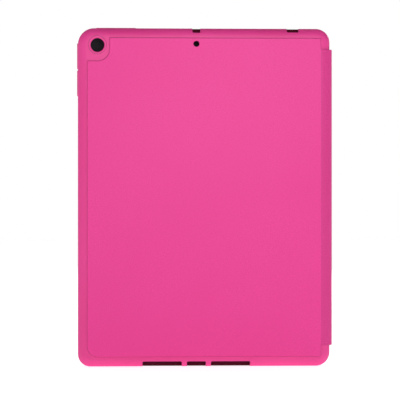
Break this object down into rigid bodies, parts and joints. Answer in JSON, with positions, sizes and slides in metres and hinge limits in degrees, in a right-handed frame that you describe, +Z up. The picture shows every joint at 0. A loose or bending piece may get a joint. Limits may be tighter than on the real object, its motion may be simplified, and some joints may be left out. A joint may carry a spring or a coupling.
{
  "type": "tablet folio case",
  "caption": "Folio case for a tablet: soft moulded tray with a stylus channel, bonded back skin, hinged spine and a cover that folds into a stand.",
  "frame": {"origin": "middle of the case at its bottom edge, with the cover shut", "axes": "+X from the free edge towards the spine, +Y from the back towards the cover, +Z up; the back faces -Y"},
  "size_m": [0.1936, 0.0142, 0.2568],
  "materials": {
    "moulded_tray": "satin",
    "outer_skin": "satin",
    "microfibre_lining": "matte",
    "stiffener_board": "matte",
    "magnet_steel": "satin"
  },
  "bodies": {
    "tray": {"tray_shell": "moulded_tray", "back_skin": "outer_skin", "back_hinge_skin": "outer_skin", "back_hinge_lining": "microfibre_lining"},
    "power_button": {"power_button": "moulded_tray"},
    "volume_up_button": {"volume_up_button": "moulded_tray"},
    "volume_down_button": {"volume_down_button": "moulded_tray"},
    "spine": {"spine_board": "stiffener_board", "spine_skin": "outer_skin", "spine_lining": "microfibre_lining", "front_hinge_skin": "outer_skin", "front_hinge_lining": "microfibre_lining"},
    "inner_panel": {"inner_board": "stiffener_board", "inner_skin": "outer_skin", "inner_lining": "microfibre_lining", "stand_strip": "magnet_steel", "fold_1_skin": "outer_skin", "fold_1_lining": "microfibre_lining"},
    "middle_panel": {"middle_board": "stiffener_board", "middle_skin": "outer_skin", "middle_lining": "microfibre_lining", "fold_2_skin": "outer_skin", "fold_2_lining": "microfibre_lining"},
    "outer_panel": {"outer_board": "stiffener_board", "outer_skin": "outer_skin", "outer_lining": "microfibre_lining", "closing_magnets": "magnet_steel", "sleep_magnet": "magnet_steel"}
  },
  "joints": [
    {"name": "spine_hinge", "type": "hinge", "parent": "tray", "child": "spine", "pos_m": [0.09504, -0.00534, 0.1282], "axis": [0, 0, -1], "range_deg": [0, 180], "deforming": ["back_hinge_skin", "back_hinge_lining"]},
    {"name": "cover_hinge", "type": "hinge", "parent": "spine", "child": "inner_panel", "pos_m": [0.09565, 0.00595, 0.1282], "axis": [0, 0, -1], "range_deg": [0, 180], "deforming": ["front_hinge_skin", "front_hinge_lining"]},
    {"name": "fold_1", "type": "hinge", "parent": "inner_panel", "child": "middle_panel", "pos_m": [0.03063, 0.0056, 0.1282], "axis": [0, 0, 1], "range_deg": [-118, 0], "deforming": ["fold_1_skin", "fold_1_lining"]},
    {"name": "fold_2", "type": "hinge", "parent": "middle_panel", "child": "outer_panel", "pos_m": [-0.03438, 0.0056, 0.1282], "axis": [0, 0, 1], "range_deg": [-118, 0], "deforming": ["fold_2_skin", "fold_2_lining"]},
    {"name": "power_press", "type": "slide", "parent": "tray", "child": "power_button", "axis": [0, 0, -1], "range_m": [0, 0.0004], "stiffness_N_per_m": 900},
    {"name": "volume_up_press", "type": "slide", "parent": "tray", "child": "volume_up_button", "axis": [1, 0, 0], "range_m": [0, 0.0004], "stiffness_N_per_m": 900},
    {"name": "volume_down_press", "type": "slide", "parent": "tray", "child": "volume_down_button", "axis": [1, 0, 0], "range_m": [0, 0.0004], "stiffness_N_per_m": 900}
  ]
}
